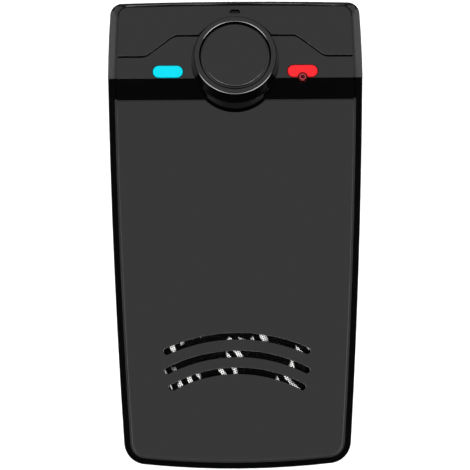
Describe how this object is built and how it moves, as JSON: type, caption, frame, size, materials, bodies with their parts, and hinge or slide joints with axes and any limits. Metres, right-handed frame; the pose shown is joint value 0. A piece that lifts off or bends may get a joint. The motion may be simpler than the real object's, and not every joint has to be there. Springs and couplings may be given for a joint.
{
  "type": "hands-free car speakerphone",
  "caption": "Clip-on hands-free speakerphone for a car's sun visor: black gloss housing, sloping head with a push-and-turn knob and two call keys, arched sound slots, wire clip behind.",
  "frame": {"origin": "middle of the body's outline, on the surface that the part lies on, face up, resting on its clip", "axes": "+Y along the body towards the knob, +X to the right seen from the face, +Z out of the face"},
  "size_m": [0.0608, 0.112, 0.0278],
  "materials": {
    "back_plastic": "fine moulded texture",
    "black_gloss": "high gloss",
    "red_lens": "clear red",
    "encoder_plastic": "moulded",
    "switch_metal": "tinned",
    "bright_can": "tinned",
    "black_rubber": "matte",
    "circuit_board": "solder mask",
    "light_white": "clear",
    "chip_black": "moulded",
    "white_plastic": "moulded",
    "ribbon_white": "film",
    "battery_foil": "foil pouch",
    "foam_black": "foam",
    "lead_red": "insulation",
    "mesh_metal": "woven",
    "speaker_steel": "plated",
    "ferrite": "ground",
    "screw_steel": "black oxide",
    "blue_key": "translucent",
    "red_key": "translucent",
    "cone_paper": "coated",
    "copper_coil": "enamelled",
    "spring_steel": "plated"
  },
  "bodies": {
    "housing": {"back_cover": "back_plastic", "front_housing": "black_gloss", "top_cap": "black_gloss", "control_panel": "black_gloss", "speaker_panel": "black_gloss", "power_lens": "red_lens", "encoder_body": "encoder_plastic", "blue_key_switch": "switch_metal", "red_key_switch": "switch_metal", "mic_capsule": "bright_can", "mic_boot": "black_rubber", "key_board": "circuit_board", "key_lights": "light_white", "main_board": "circuit_board", "charging_inlet": "bright_can", "radio_shield": "bright_can", "board_chips": "chip_black", "capacitors": "bright_can", "lead_sockets": "white_plastic", "ribbon_sockets": "white_plastic", "ribbon_cable": "ribbon_white", "battery": "battery_foil", "battery_pad": "foam_black", "battery_leads": "lead_red", "speaker_mesh": "mesh_metal", "speaker_gasket": "foam_black", "speaker_basket": "speaker_steel", "speaker_top_plate": "speaker_steel", "speaker_magnet": "ferrite", "speaker_yoke": "speaker_steel", "speaker_surround": "black_rubber", "speaker_leads": "lead_red", "case_screws": "screw_steel", "main_board_screws": "screw_steel", "key_board_screws": "screw_steel"},
    "encoder_press": {"encoder_plunger": "white_plastic"},
    "knob": {"knob_rim": "black_gloss", "knob_disc": "black_gloss", "encoder_shaft": "bright_can"},
    "blue_button": {"blue_key": "blue_key", "blue_switch_plunger": "white_plastic"},
    "red_button": {"red_key": "red_key", "red_switch_plunger": "white_plastic"},
    "cone": {"speaker_cone": "cone_paper", "dust_cap": "cone_paper", "voice_coil": "copper_coil"},
    "clip": {"visor_clip": "spring_steel", "clip_grip": "black_rubber"}
  },
  "joints": [
    {"name": "knob_press", "type": "slide", "parent": "housing", "child": "encoder_press", "axis": [0, -0.2924, -0.9563], "range_m": [0, 0.0005], "stiffness_N_per_m": 3000, "springref_m": -0.0001},
    {"name": "knob_spin", "type": "hinge", "parent": "encoder_press", "child": "knob", "pos_m": [0, 0.04153, 0.02065], "axis": [0, 0.2924, 0.9563], "continuous": true},
    {"name": "blue_key_press", "type": "slide", "parent": "housing", "child": "blue_button", "axis": [0, -0.2924, -0.9563], "range_m": [0, 0.0003], "stiffness_N_per_m": 2500, "springref_m": -0.0001},
    {"name": "red_key_press", "type": "slide", "parent": "housing", "child": "red_button", "axis": [0, -0.2924, -0.9563], "range_m": [0, 0.0003], "stiffness_N_per_m": 2500, "springref_m": -0.0001},
    {"name": "cone_travel", "type": "slide", "parent": "housing", "child": "cone", "axis": [0, 0, 1], "range_m": [-0.0004, 0.0004], "stiffness_N_per_m": 1500, "deforming": ["speaker_surround"]},
    {"name": "clip_swing", "type": "hinge", "parent": "housing", "child": "clip", "pos_m": [0, 0.034, 0.0021], "axis": [1, 0, 0], "range_deg": [0, 22], "stiffness_Nm_per_rad": 0.8, "springref_deg": -5.73}
  ]
}
